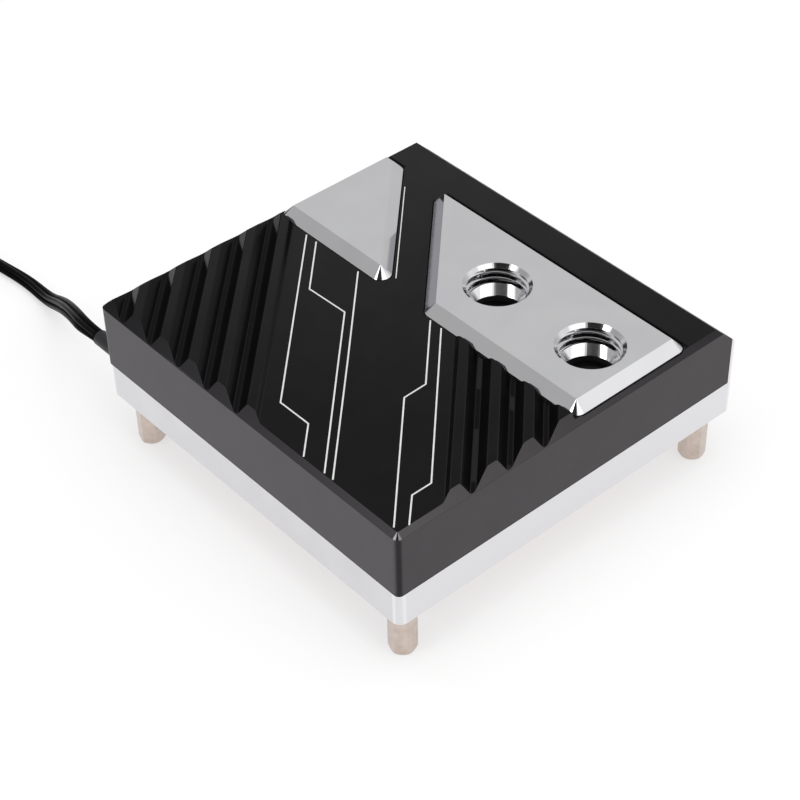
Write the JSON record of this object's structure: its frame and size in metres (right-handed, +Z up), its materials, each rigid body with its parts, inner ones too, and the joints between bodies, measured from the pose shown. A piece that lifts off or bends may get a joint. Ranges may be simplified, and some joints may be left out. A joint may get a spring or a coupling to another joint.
{
  "type": "water cooling block",
  "caption": "Square liquid cooling block for a computer processor: wave-cut black cover, bright plates, threaded coolant ports, corner posts, finned cold plate and a lead for its lights.",
  "frame": {"origin": "under the middle of the block's square base, at the tips of the mounting posts", "axes": "+Z up through the ports, +X towards the metal rear wall, +Y towards the side that the lead leaves"},
  "size_m": [0.1145, 0.1917, 0.0372],
  "materials": {
    "base_frame": "polished nickel",
    "mounting_posts": "satin nickel over brass",
    "top_cover": "black satin anodised",
    "port_plate": "satin nickel",
    "badge_plate": "satin nickel",
    "cover_screws": "satin",
    "flow_body": "matt acetal",
    "port_seals": "matt",
    "cold_plate_seal": "matt",
    "jet_gasket": "matt",
    "jet_plate": "satin",
    "cold_plate": "polished copper",
    "led_board": "solder mask",
    "led_chips": "gloss",
    "light_guide": "clear acrylic",
    "board_wires": "satin",
    "lead_sleeve": "satin shrunk sleeve",
    "lead_wires": "satin",
    "lead_coil": "satin",
    "lead_tail": "satin",
    "coil_tie": "matt",
    "connector_housing": "matt",
    "connector_contacts": "tinned"
  },
  "bodies": {
    "root": {"base_frame": "base_frame", "mounting_posts": "mounting_posts", "top_cover": "top_cover", "port_plate": "port_plate", "badge_plate": "badge_plate", "cover_screws": "cover_screws", "flow_body": "flow_body", "port_seals": "port_seals", "cold_plate_seal": "cold_plate_seal", "jet_gasket": "jet_gasket", "jet_plate": "jet_plate", "cold_plate": "cold_plate", "led_board": "led_board", "led_chips": "led_chips", "light_guide": "light_guide", "board_wires": "board_wires", "lead_sleeve": "lead_sleeve", "lead_wires": "lead_wires", "lead_coil": "lead_coil", "lead_tail": "lead_tail", "coil_tie": "coil_tie", "connector_housing": "connector_housing", "connector_contacts": "connector_contacts"}
  },
  "joints": []
}
